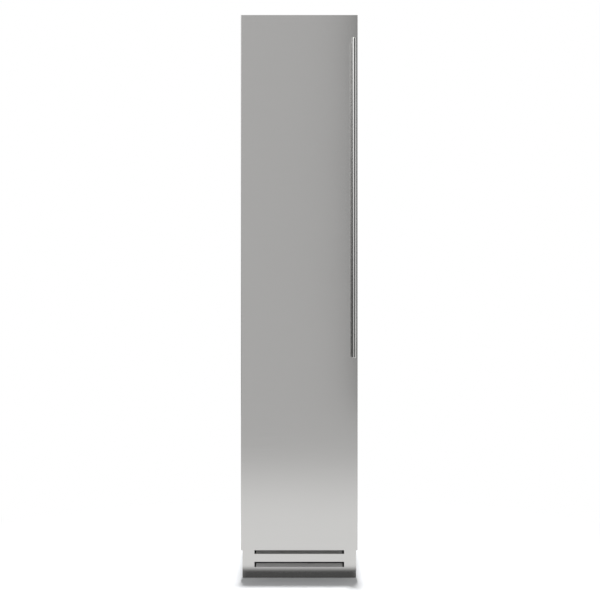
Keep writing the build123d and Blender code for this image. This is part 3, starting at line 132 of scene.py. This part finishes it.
# Materials
class Finish(Nodes):
    """A material of the object, with what most of them need."""

    def __init__(self, name):
        self.material = bpy.data.materials.new(name)
        self.material.use_nodes = True
        super().__init__(self.material.node_tree)
        self.shader = self.tree.nodes["Principled BSDF"]
        self.coords = self.add("ShaderNodeTexCoord").outputs["Object"]

    def stretched(self, scale):
        """The object's coordinates, multiplied by a scale along each axis."""
        mapping = self.add("ShaderNodeMapping")
        mapping.inputs["Scale"].default_value = scale
        self.link(self.coords, mapping.inputs["Vector"])
        return mapping.outputs["Vector"]

    def noise(self, scale, detail):
        node = self.add("ShaderNodeTexNoise")
        node.inputs["Scale"].default_value = 1.0
        node.inputs["Detail"].default_value = detail
        node.inputs["Roughness"].default_value = 0.55
        self.link(self.stretched(scale), node.inputs["Vector"])
        return node.outputs["Fac"]

    def cells(self, scale):
        """Each cell's own shade, and the distance to the cell's middle."""
        node = self.add("ShaderNodeTexVoronoi")
        node.inputs["Scale"].default_value = 1.0
        self.link(self.stretched(scale), node.inputs["Vector"])
        return node.outputs["Color"], node.outputs["Distance"]

    def spread(self, value, low, high):
        """The middle part of a noise, spread over low to high."""
        return self.ramp(value, 0.3, 0.7, low, high)

    def mixed(self, value, dark, light):
        """A colour between dark and light."""
        node = self.add("ShaderNodeMix", data_type="RGBA")
        node.inputs["A"].default_value = (*dark, 1)
        node.inputs["B"].default_value = (*light, 1)
        self.link(value, node.inputs["Factor"])
        return node.outputs["Result"]

    def blended(self, first, second, share=0.5):
        """Two values blended, with the second one's share as a number or an output."""
        node = self.add("ShaderNodeMix", data_type="FLOAT")
        if isinstance(share, float):
            node.inputs["Factor"].default_value = share
        else:
            self.link(share, node.inputs["Factor"])
        self.link(first, node.inputs["A"])
        self.link(second, node.inputs["B"])
        return node.outputs["Result"]

    def bump(self, height, distance, strength):
        node = self.add("ShaderNodeBump")
        node.inputs["Strength"].default_value = strength
        node.inputs["Distance"].default_value = distance
        self.link(height, node.inputs["Height"])
        self.link(node.outputs["Normal"], self.shader.inputs["Normal"])

    def mottled(self, value, colour, dark, light):
        """The base colour, from its dark share to its light share."""
        output = self.mixed(value, scaled(colour, dark), scaled(colour, light))
        self.link(output, self.shader.inputs["Base Color"])

    def roughness(self, output):
        self.link(output, self.shader.inputs["Roughness"])

    def set(self, **values):
        """Plain values on the shader, by socket name with _ for a space."""
        for key, value in values.items():
            self.shader.inputs[key.replace("_", " ")].default_value = value


def scaled(colour, factor):
    return tuple(min(1, c * factor) for c in colour)


def even(scale):
    """The same scale along each axis."""
    return (scale, scale, scale)


def grained(axis, along, across):
    """A scale that draws a pattern out into lines along an axis."""
    return tuple(along if name == axis else across for name in "xyz")


def brushed(name, colour, rough, grain, behind=None):
    """Metal with fine lines along one axis. Behind can hold two depths, between which
    the surface turns dull, and how dull."""
    tree = Finish(name)
    fine = tree.noise(grained(grain, along=12, across=900), detail=4)
    coarse = tree.noise(grained(grain, along=3, across=160), detail=3)
    lines = tree.blended(fine, coarse, 0.35)
    tree.mottled(lines, colour, dark=0.955, light=1.045)
    patches = tree.noise((2.2, 2.2, 1.4), detail=2)
    line_satin = tree.spread(lines, rough - 0.03, rough + 0.03)
    patch_satin = tree.spread(patches, rough - 0.02, rough + 0.02)
    satin = tree.blended(line_satin, patch_satin)
    if behind:
        start, end, dull = behind
        matt = tree.spread(patches, dull, dull + 0.05)
        satin = tree.blended(satin, matt, tree.ramp(tree.apart(tree.coords)["Y"], start, end))
    tree.roughness(satin)
    tree.bump(lines, distance=0.00002, strength=0.25)
    tree.set(Metallic=1.0)
    return tree.material


def painted(name, colour, rough=0.42):
    """Stoved paint with a slight orange peel."""
    tree = Finish(name)
    peel = tree.noise(even(520), detail=2)
    cloud = tree.noise((4, 4, 3), detail=3)
    tree.mottled(cloud, colour, dark=0.95, light=1.05)
    tree.roughness(tree.spread(cloud, rough - 0.04, rough + 0.05))
    tree.bump(peel, distance=0.00003, strength=0.4)
    return tree.material


def galvanised(name, colour):
    """Zinc coated sheet with its crystal pattern."""
    tree = Finish(name)
    shades, edge = tree.cells(even(75))
    grey = tree.add("ShaderNodeRGBToBW")
    tree.link(shades, grey.inputs["Color"])
    crystals = grey.outputs["Val"]
    tree.mottled(crystals, colour, dark=0.86, light=1.12)
    tree.roughness(tree.ramp(crystals, 0.1, 0.9, low=0.34, high=0.5))
    tree.bump(edge, distance=0.00002, strength=0.2)
    tree.set(Metallic=0.85)
    return tree.material


def moulded(name, colour, rough=0.5):
    """Moulded plastic with a fine spark-eroded grain."""
    tree = Finish(name)
    fine = tree.noise(even(1400), detail=2)
    cloud = tree.noise(even(9), detail=3)
    tree.mottled(cloud, colour, dark=0.96, light=1.04)
    tree.roughness(tree.spread(fine, rough - 0.05, rough + 0.05))
    tree.bump(fine, distance=0.00002, strength=0.5)
    return tree.material


def clear(name, colour, rough, solid, gloss):
    """Clear plastic or glass, faintly scuffed, that lets light through to what is behind it."""
    tree = Finish(name)
    scuff = tree.noise((40, 40, 260), detail=4)
    haze = tree.noise(even(6), detail=2)
    tree.mottled(haze, colour, dark=0.97, light=1)
    tree.roughness(tree.spread(scuff, rough, rough + 0.06))
    tree.bump(haze, distance=0.0002, strength=0.08)
    tree.set(Alpha=solid, Specular_IOR_Level=gloss)
    return tree.material


def rubber(name, colour):
    """Soft rubber or vinyl with a little dust."""
    tree = Finish(name)
    fine = tree.noise(even(900), detail=3)
    dust = tree.noise(even(30), detail=4)
    tree.mottled(dust, colour, dark=0.9, light=1.12)
    tree.roughness(tree.spread(dust, 0.62, 0.8))
    tree.bump(fine, distance=0.00004, strength=0.4)
    return tree.material


def foam(name, colour):
    """Rigid foam with open pores."""
    tree = Finish(name)
    edge = tree.cells(even(420))[1]
    cloud = tree.noise(even(14), detail=4)
    tree.mottled(cloud, colour, dark=0.88, light=1.05)
    tree.roughness(tree.spread(cloud, 0.8, 0.95))
    tree.bump(edge, distance=0.0003, strength=0.5)
    return tree.material


def metal_plain(name, colour, rough, mottling=0.12, size=60):
    """Unpainted metal: tube, casting or ground steel."""
    tree = Finish(name)
    cloud = tree.noise(even(size), detail=5)
    fine = tree.noise(even(700), detail=2)
    tree.mottled(cloud, colour, dark=1 - mottling, light=1 + mottling / 2)
    tree.roughness(tree.spread(cloud, rough - 0.05, rough + 0.07))
    tree.bump(fine, distance=0.00002, strength=0.3)
    tree.set(Metallic=1.0)
    return tree.material


def glossy(name, colour, rough, coat):
    """Polished glass or plastic with a clear coat."""
    tree = Finish(name)
    fine = tree.noise(even(260), detail=2)
    cloud = tree.noise(even(20), detail=3)
    tree.mottled(cloud, colour, dark=0.94, light=1.06)
    tree.roughness(tree.spread(fine, rough, rough + 0.05))
    tree.bump(fine, distance=0.00001, strength=0.15)
    tree.set(Coat_Weight=coat, Coat_Roughness=0.05)
    return tree.material


def glowing(name, colour, strength):
    """A frosted cover with light behind it."""
    tree = Finish(name)
    dots = tree.noise((6, 6, 90), detail=2)
    tree.mottled(dots, colour, dark=0.93, light=1)
    light = tree.mixed(dots, scaled(colour, 0.9), colour)
    tree.link(light, tree.shader.inputs["Emission Color"])
    tree.roughness(tree.spread(dots, 0.3, 0.38))
    tree.set(Emission_Strength=strength)
    return tree.material


# The toe kick is bright in front, and dull on the louvre blades behind its sheet
TOE_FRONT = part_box("toe_kick")[0].y
SHEET_ENDS = 0.00115
BLADES_START = 0.0014
BLADE_ROUGHNESS = 0.62
BLADES = (TOE_FRONT + SHEET_ENDS, TOE_FRONT + BLADES_START, BLADE_ROUGHNESS)

STEEL = (0.62, 0.615, 0.605)
finishes = {
    "case_steel": painted("case_paint", (0.50, 0.51, 0.52), rough=0.38),
    "liner_steel": brushed("liner_steel", (0.66, 0.66, 0.65), rough=0.34, grain="x"),
    "foam": foam("rigid_foam", (0.80, 0.72, 0.52)),
    "trim_plastic": moulded("trim_plastic", (0.55, 0.56, 0.57)),
    "frame_steel": painted("frame_paint", (0.035, 0.035, 0.038), rough=0.45),
    "zinc_steel": metal_plain("zinc_plate", (0.56, 0.56, 0.53), rough=0.33),
    "pin_steel": metal_plain("ground_steel", (0.66, 0.66, 0.66), rough=0.18, mottling=0.05),
    "toe_steel": brushed("toe_steel", STEEL, rough=0.09, grain="x", behind=BLADES),
    "foot_steel": metal_plain("foot_zinc", (0.5, 0.5, 0.48), rough=0.35),
    "roller_plastic": moulded("black_nylon", (0.02, 0.02, 0.022), rough=0.45),
    "compressor_paint": painted("black_enamel", (0.012, 0.012, 0.014), rough=0.25),
    "rubber": rubber("black_rubber", (0.02, 0.02, 0.02)),
    "copper": metal_plain("copper_tube", (0.78, 0.42, 0.28), rough=0.3, mottling=0.3, size=40),
    "coil_aluminium": brushed("fin_aluminium", (0.76, 0.77, 0.78), rough=0.3, grain="z"),
    "mount_steel": painted("mount_paint", (0.10, 0.10, 0.105)),
    "dark_plastic": moulded("dark_plastic", (0.028, 0.028, 0.031), rough=0.48),
    "pale_plastic": moulded("pale_plastic", (0.72, 0.735, 0.74), rough=0.42),
    "valve_plastic": moulded("white_nylon", (0.78, 0.78, 0.74), rough=0.4),
    "cover_steel": galvanised("zinc_sheet", (0.60, 0.61, 0.62)),
    "motor": painted("motor_casing", (0.03, 0.03, 0.032), rough=0.35),
    "display_glass": glossy("black_glass", (0.006, 0.006, 0.008), rough=0.04, coat=1.0),
    "rocker_plastic": glossy("rocker_plastic", (0.02, 0.02, 0.02), rough=0.18, coat=0.3),
    "light_diffuser": glowing("light_diffuser", (1.0, 0.98, 0.94), strength=1.6),
    "cast_aluminium": metal_plain(
        "cast_aluminium", (0.52, 0.53, 0.54), rough=0.42, mottling=0.1, size=160
    ),
    "ejector_plastic": moulded("white_plastic", (0.8, 0.8, 0.79), rough=0.4),
    "wire": metal_plain("bright_wire", (0.72, 0.72, 0.72), rough=0.16, mottling=0.05),
    "clear_plastic": clear("clear_plastic", (0.80, 0.89, 0.94), rough=0.08, solid=0.27, gloss=0.9),
    "shelf_glass": clear("shelf_glass", (0.66, 0.84, 0.78), rough=0.03, solid=0.24, gloss=1.0),
    "trim_aluminium": brushed("anodised_trim", (0.70, 0.70, 0.69), rough=0.26, grain="x"),
    "door_steel": brushed("door_steel", STEEL, rough=0.13, grain="x"),
    "liner_plastic": moulded("liner_plastic", (0.76, 0.775, 0.785), rough=0.38),
    "gasket_rubber": rubber("gasket_vinyl", (0.34, 0.345, 0.35)),
    "bush_plastic": moulded("acetal", (0.82, 0.82, 0.79), rough=0.35),
    "handle_steel": brushed("handle_steel", (0.66, 0.655, 0.645), rough=0.12, grain="z"),
}
for part in frame["record"]["subparts"]:
    node = nodes[part["node"]]
    node.data.materials.clear()
    node.data.materials.append(finishes[part["material_slot"]])


# Pieces that are modelled here
def made(name, build, slot, body, *instead):
    """A piece of the object, from a function that fills a bmesh."""
    mesh = bpy.data.meshes.new(name)
    work = bmesh.new()
    build(work)
    bmesh.ops.recalc_face_normals(work, faces=work.faces)
    work.to_mesh(mesh)
    work.free()
    piece = bpy.data.objects.new(name, mesh)
    bpy.context.scene.collection.objects.link(piece)
    mesh.materials.append(finishes[slot])
    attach(piece, body)
    if instead:
        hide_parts(*instead)


def strip_of_rings(work, rings, closed=False):
    """Faces between each ring of points and the next."""
    rows = [[work.verts.new(point) for point in ring] for ring in rings]
    following = rows[1:] + rows[:1] if closed else rows[1:]
    for one, two in zip(rows, following):
        for i in range(len(one)):
            j = (i + 1) % len(one)
            work.faces.new((one[i], one[j], two[j], two[i]))
    return rows


def turned(work, rings):
    """A closed body from rings of points, with a face over the first and the last."""
    rows = strip_of_rings(work, rings)
    work.faces.new(rows[0])
    work.faces.new(rows[-1])


# Seal of the door, in mm: outline of its inner flank, inwards from its outer edge and
# forwards from the door. The outer flank mirrors it
MM = 0.001
SEAL_LOW, SEAL_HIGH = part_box("door_gasket")
SEAL_WIDTH = 18
SEAL_FLANK = [
    (SEAL_WIDTH, 0), (SEAL_WIDTH, 1.5), (14.6, 2.5), (13.3, 3.0), (13.1, 4.1), (15.2, 4.7),
    (17.3, 5.3), (17.9, 6.0), (17.5, 6.7), (15.9, 7.3), (15.5, 7.7), (15.9, 8.1),
    (17.4, 8.6), (SEAL_WIDTH, 9.3), (SEAL_WIDTH, 10.9), (17.4, 11.5),
]


def seal(work):
    mirrored = [(SEAL_WIDTH - inward, forward) for inward, forward in reversed(SEAL_FLANK)]
    rings = []
    for side, low in ((-1, True), (1, True), (1, False), (-1, False)):
        ring = []
        for inward, forward in SEAL_FLANK + mirrored:
            x = side * (SEAL_HIGH.x - inward * MM)
            z = SEAL_LOW.z + inward * MM if low else SEAL_HIGH.z - inward * MM
            ring.append((x, SEAL_LOW.y + forward * MM, z))
        rings.append(ring)
    strip_of_rings(work, rings, closed=True)


made("door_seal", seal, "gasket_rubber", "door", "door_gasket")

# Hinge screws: two face up on the top hinge, three face forwards on the lower one
SCREW_SIDES = 24
SHANK_RADIUS = 0.003
SHANK_CHAMFER = 0.001
SHANK_TIP = 0.6 * SHANK_RADIUS
HEAD_HEIGHT = 0.003
SOCKET_HALF = 0.002
SOCKET_FLOOR = 0.0012
# Radius and height of each step of the domed head, from its underside to the socket
DOME = [
    (0.0055, 0), (0.0055, 0.0009), (0.0053, 0.0016), (0.0047, 0.0023),
    (0.0038, 0.00275), (0.0029, HEAD_HEIGHT), (0.0026, HEAD_HEIGHT),
]
SCREWS_LOW, SCREWS_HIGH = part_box("hinge_screws")
SCREW_X = (SCREWS_LOW.x + SCREWS_HIGH.x) / 2
UPPER_SCREWS_Y = (-0.1825, -0.1585)
LOWER_SCREWS_Z = (0.07995, 0.09395, 0.10795)
UPPER_LENGTH = 0.0118
LOWER_LENGTH = 0.010


def hex_radius(angle):
    """Reach of the hexagon socket at an angle."""
    return SOCKET_HALF / math.cos((angle % (math.pi / 3)) - math.pi / 6)


def round_points(reaches, height):
    """A ring of points from the reach at each of its sides."""
    ring = []
    for step, reach in enumerate(reaches):
        angle = math.tau * step / SCREW_SIDES
        ring.append((reach * math.cos(angle), reach * math.sin(angle), height))
    return ring


def screw(length):
    """Rings of points of one screw that faces up, with its head's underside at 0."""
    steps = [(SHANK_TIP, -length), (SHANK_RADIUS, SHANK_CHAMFER - length), (SHANK_RADIUS, 0)]
    rings = [round_points([radius] * SCREW_SIDES, height) for radius, height in steps + DOME]
    socket = [hex_radius(math.tau * step / SCREW_SIDES) for step in range(SCREW_SIDES)]
    return rings + [round_points(socket, height) for height in (HEAD_HEIGHT, SOCKET_FLOOR)]


def screw_heads(work):
    z = SCREWS_HIGH.z - HEAD_HEIGHT
    for y in UPPER_SCREWS_Y:
        rings = screw(UPPER_LENGTH)
        turned(work, [[(SCREW_X + a, y + b, z + up) for a, b, up in ring] for ring in rings])
    y = SCREWS_LOW.y + HEAD_HEIGHT
    for z in LOWER_SCREWS_Z:
        rings = screw(LOWER_LENGTH)
        turned(work, [[(SCREW_X + a, y - up, z + b) for a, b, up in ring] for ring in rings])


made("hinge_screws_domed", screw_heads, "zinc_steel", "cabinet", "hinge_screws")

# Low heads of the screws that hold the back sheet and the rear cover
BACK_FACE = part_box("rear_cover")[1].y
HEAD_X = 0.192
HEAD_HEIGHTS = (0.048, 0.185, 0.322, 0.366, 0.654, 0.943, 1.232, 1.52, 1.808, 2.096)
HEAD_RADIUS = 0.0042
HEAD_PROUD = 0.00078
# Share of the radius and of the height at each step of the head, outside its recess
HEAD_SHARES = [(1, 0), (1, 0.4), (0.86, 0.8), (0.68, 1)]
# The same for the recess, whose reach is that of a cross
RECESS_SHARES = [(1, 1), (0.7, 0.15)]
CROSS_TIP = 0.0024
CROSS_FLANK = 0.0021
CROSS_CORNER = 0.0007
CROSS_ARM = SCREW_SIDES // 4


def cross_radius(step):
    """Reach of a cross recess at one of the sides of a head."""
    beside = step % CROSS_ARM
    if beside == 0:
        return CROSS_TIP
    return CROSS_FLANK if beside in (1, CROSS_ARM - 1) else CROSS_CORNER


def low_head(work, x, z):
    """One head, driven home at an angle that differs from screw to screw."""
    steps = [([HEAD_RADIUS * wide] * SCREW_SIDES, high) for wide, high in HEAD_SHARES]
    for wide, high in RECESS_SHARES:
        steps.append(([wide * cross_radius(step) for step in range(SCREW_SIDES)], high))
    rings = []
    for reaches, high in steps:
        y = BACK_FACE + HEAD_PROUD * high
        ring = []
        for step, reach in enumerate(reaches):
            angle = math.tau * step / SCREW_SIDES + x + z
            ring.append((x + reach * math.cos(angle), y, z + reach * math.sin(angle)))
        rings.append(ring)
    turned(work, rings)


def low_heads(work):
    for x in (-HEAD_X, HEAD_X):
        for z in HEAD_HEIGHTS:
            low_head(work, x, z)


made("back_screw_heads", low_heads, "zinc_steel", "cabinet")


# Stage
class Stage(Nodes):
    """The nodes of a floor, a wall or the world."""

    def glow(self, strength):
        node = self.add("ShaderNodeEmission")
        node.inputs["Strength"].default_value = strength
        return node.outputs[0]

    def worked(self, operation, first, second=None):
        """A sum on one output, or on it and a second output or number."""
        node = self.add("ShaderNodeMath", operation=operation)
        self.link(first, node.inputs[0])
        if isinstance(second, float):
            node.inputs[1].default_value = second
        elif second is not None:
            self.link(second, node.inputs[1])
        return node.outputs[0]

    def blend(self, share, first, second):
        """The first shader, or the second where the share is 1."""
        node = self.add("ShaderNodeMixShader")
        self.link(share, node.inputs[0])
        self.link(first, node.inputs[1])
        self.link(second, node.inputs[2])
        return node.outputs[0]

    def position(self):
        return self.add("ShaderNodeNewGeometry").outputs["Position"]

    def surface(self, shader):
        output = self.add("ShaderNodeOutputMaterial")
        self.link(shader, output.inputs["Surface"])


def stage_material(name):
    material = bpy.data.materials.new(name)
    material.use_nodes = True
    material.node_tree.nodes.clear()
    return material, Stage(material.node_tree)


def floor_material():
    """White to the camera away from the object, and lit and shadowed round it. Shiny surfaces see
    a painted shadow round its base instead.
    """
    material, stage = stage_material("floor")
    position = stage.position()
    length = stage.add("ShaderNodeVectorMath", operation="LENGTH")
    stage.link(position, length.inputs[0])
    away = length.outputs["Value"]

    diffuse = stage.add("ShaderNodeBsdfDiffuse")
    diffuse.inputs["Color"].default_value = (*FLOOR_COLOUR, 1)
    near = stage.add("ShaderNodeAddShader")
    stage.link(diffuse.outputs[0], near.inputs[0])
    stage.link(stage.glow(FLOOR_GLOW), near.inputs[1])
    turns_white = stage.ramp(away, *TURNS_WHITE, curve="SMOOTHSTEP")
    seen = stage.blend(turns_white, near.outputs[0], stage.glow(1))

    # Painted shadow for shiny surfaces: a dark glow over a box round the base, which turns into
    # the lit floor at its edge
    apart = stage.apart(position)
    forward = stage.worked("ABSOLUTE", apart["Y"])
    aside = stage.worked("ABSOLUTE", apart["X"])
    widened = stage.worked("MULTIPLY", aside, SHADOW_DEPTH_TO_WIDTH)
    outer = stage.worked("MAXIMUM", forward, widened)
    edge = stage.ramp(outer, *SHADOW_EDGE, curve="SMOOTHSTEP")
    painted_shadow_round_base = stage.blend(edge, stage.glow(PAINTED_MIRRORED_SHADOW), stage.glow(MIRRORED_FLOOR))
    turns_wall = stage.ramp(away, *TURNS_WALL, curve="SMOOTHSTEP")
    mirrored = stage.blend(turns_wall, painted_shadow_round_base, stage.glow(WALL_FRONT))

    ray = stage.add("ShaderNodeLightPath").outputs
    shiny = stage.worked("MAXIMUM", ray["Is Glossy Ray"], ray["Is Transmission Ray"])
    other = stage.blend(shiny, diffuse.outputs[0], mirrored)
    stage.surface(stage.blend(ray["Is Camera Ray"], other, seen))
    return material


def wall_material(name, low, high):
    """Light that changes with the height from low to high."""
    material, stage = stage_material(name)
    height = stage.apart(stage.position())["Z"]
    glow = stage.add("ShaderNodeEmission")
    strength = stage.ramp(height, WALL_LOW, WALL_HIGH, low, high)
    stage.link(strength, glow.inputs["Strength"])
    stage.surface(glow.outputs[0])
    return material


def staged(name, points, faces, material):
    mesh = bpy.data.meshes.new(name)
    mesh.from_pydata(points, [], faces)
    mesh.materials.append(material)
    item = bpy.data.objects.new(name, mesh)
    bpy.context.scene.collection.objects.link(item)
    return item


def between(pair, share):
    return pair[0] + (pair[1] - pair[0]) * share


def wall(name, first, last, low, high):
    """An upright curved sheet, from its first edge to its last. Angles are in degrees
    from straight in front of the door, to the right when above 0."""
    points = []
    faces = []
    for row in range(WALL_STEPS + 1):
        up = row / WALL_STEPS
        ends = (between(first, up), between(last, up))
        for step in range(WALL_STEPS + 1):
            angle = math.radians(between(ends, step / WALL_STEPS))
            x = WALL_RADIUS * math.sin(angle)
            y = -WALL_RADIUS * math.cos(angle)
            points.append((x, y, WALL_HEIGHT * up))
            if row and step:
                i = len(points) - 1
                below = i - WALL_STEPS - 1
                faces.append((below - 1, below, i, i - 1))
    item = staged(name, points, faces, wall_material(name, low, high))
    item.visible_camera = False
    item.visible_diffuse = False
    item.visible_shadow = False


corners = [(-FLOOR_HALF, -FLOOR_HALF, 0), (FLOOR_HALF, -FLOOR_HALF, 0)]
corners += [(FLOOR_HALF, FLOOR_HALF, 0), (-FLOOR_HALF, FLOOR_HALF, 0)]
staged("floor", corners, [(0, 1, 2, 3)], floor_material())
for name, edges_and_strengths in WALLS.items():
    wall(name, *edges_and_strengths)

# World: white to the camera and in reflections, and a weaker fill for the rest
world = bpy.data.worlds.new("studio")
bpy.context.scene.world = world
world.use_nodes = True
sky = Stage(world.node_tree)
background = world.node_tree.nodes["Background"]
background.inputs["Color"].default_value = (1, 1, 1, 1)
ray = sky.add("ShaderNodeLightPath").outputs
mirrored = sky.worked("MAXIMUM", ray["Is Camera Ray"], ray["Is Glossy Ray"])
white = sky.worked("MAXIMUM", mirrored, ray["Is Transmission Ray"])
sky.link(sky.ramp(white, 0, 1, FILL, 1), background.inputs["Strength"])


def soft_box(name, place):
    light = bpy.data.lights.new(name, "AREA")
    light.shape = "RECTANGLE"
    light.size, light.size_y = SIDE_SIZE
    light.energy = SIDE_POWER
    item = bpy.data.objects.new(name, light)
    item.location = place
    item.rotation_mode = "QUATERNION"
    item.rotation_quaternion = (Vector(SIDE_TARGET) - Vector(place)).to_track_quat("-Z", "Y")
    item.visible_glossy = False
    bpy.context.scene.collection.objects.link(item)


for name, place in SIDE_PLACES.items():
    soft_box(name, place)
sun = bpy.data.lights.new("overhead", "SUN")
sun.energy = SUN
sun.angle = math.radians(SUN_ANGLE)
above = bpy.data.objects.new("overhead", sun)
above.rotation_euler = (-math.radians(SUN_TILT), 0, 0)
bpy.context.scene.collection.objects.link(above)

bpy.context.scene.view_settings.view_transform = "Standard"
camera = bpy.data.cameras.new("camera")
camera.lens = LENS
camera.sensor_width = SENSOR
camera.shift_x = SHIFT_X
camera.shift_y = SHIFT_Y
eye = bpy.data.objects.new("camera", camera)
eye.location = CAMERA_PLACE
eye.rotation_euler = (math.radians(CAMERA_PITCH), 0, 0)
bpy.context.scene.collection.objects.link(eye)
bpy.context.scene.camera = eye
